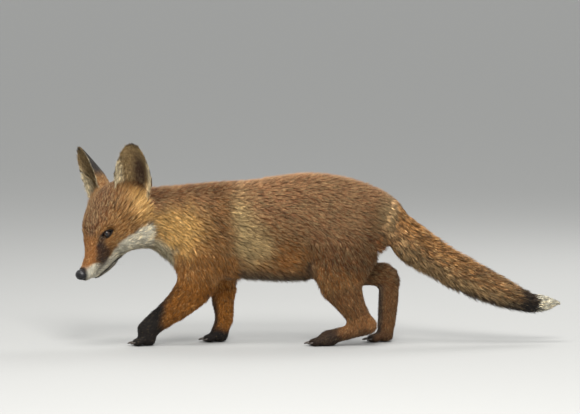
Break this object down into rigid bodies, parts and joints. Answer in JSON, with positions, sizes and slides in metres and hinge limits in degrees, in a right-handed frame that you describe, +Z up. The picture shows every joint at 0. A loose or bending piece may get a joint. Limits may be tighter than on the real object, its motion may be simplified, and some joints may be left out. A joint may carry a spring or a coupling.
{
  "type": "red fox",
  "caption": "Walking red fox cub with its head lowered and turned to its left, large upright ears, slender black-pawed legs and a long tapering tail with a pale tip.",
  "frame": {"origin": "centre of the bounding box's base, on the floor under the animal", "axes": "the head faces -X and the tail +X, the animal's left side is -Y, +Z is up"},
  "size_m": [0.7252, 0.1356, 0.3073],
  "materials": {
    "russet_fur": "short russet-brown fur, grizzled with pale tips",
    "grey_brown_fur": "grey-brown fur with dark tips",
    "dark_fur": "short black-brown fur",
    "pale_fur": "off-white fur",
    "nose_leather": "moist, finely pebbled black skin",
    "eye": "wet, dark brown eye",
    "claw_horn": "dark horn"
  },
  "bodies": {
    "root": {"belly": "russet_fur", "chest": "russet_fur", "claw_front_left_1": "claw_horn", "claw_front_left_2": "claw_horn", "claw_front_left_3": "claw_horn", "claw_front_left_4": "claw_horn", "claw_front_right_1": "claw_horn", "claw_front_right_2": "claw_horn", "claw_front_right_3": "claw_horn", "claw_front_right_4": "claw_horn", "claw_hind_left_1": "claw_horn", "claw_hind_left_2": "claw_horn", "claw_hind_left_3": "claw_horn", "claw_hind_left_4": "claw_horn", "claw_hind_right_1": "claw_horn", "claw_hind_right_2": "claw_horn", "claw_hind_right_3": "claw_horn", "claw_hind_right_4": "claw_horn", "ear_left": "dark_fur", "ear_right": "dark_fur", "eye_left": "eye", "eye_right": "eye", "foot_left": "grey_brown_fur", "foot_right": "grey_brown_fur", "forearm_left": "russet_fur", "forearm_right": "russet_fur", "head": "russet_fur", "hips": "russet_fur", "lower_jaw": "pale_fur", "muzzle": "russet_fur", "neck": "russet_fur", "nose": "nose_leather", "paw_front_left": "dark_fur", "paw_front_right": "dark_fur", "paw_hind_left": "dark_fur", "paw_hind_right": "dark_fur", "shank_left": "russet_fur", "shank_right": "russet_fur", "tail_base": "russet_fur", "tail_brush": "grey_brown_fur", "tail_tip": "pale_fur", "thigh_left": "russet_fur", "thigh_right": "russet_fur", "upper_foreleg_left": "russet_fur", "upper_foreleg_right": "russet_fur"}
  },
  "joints": []
}
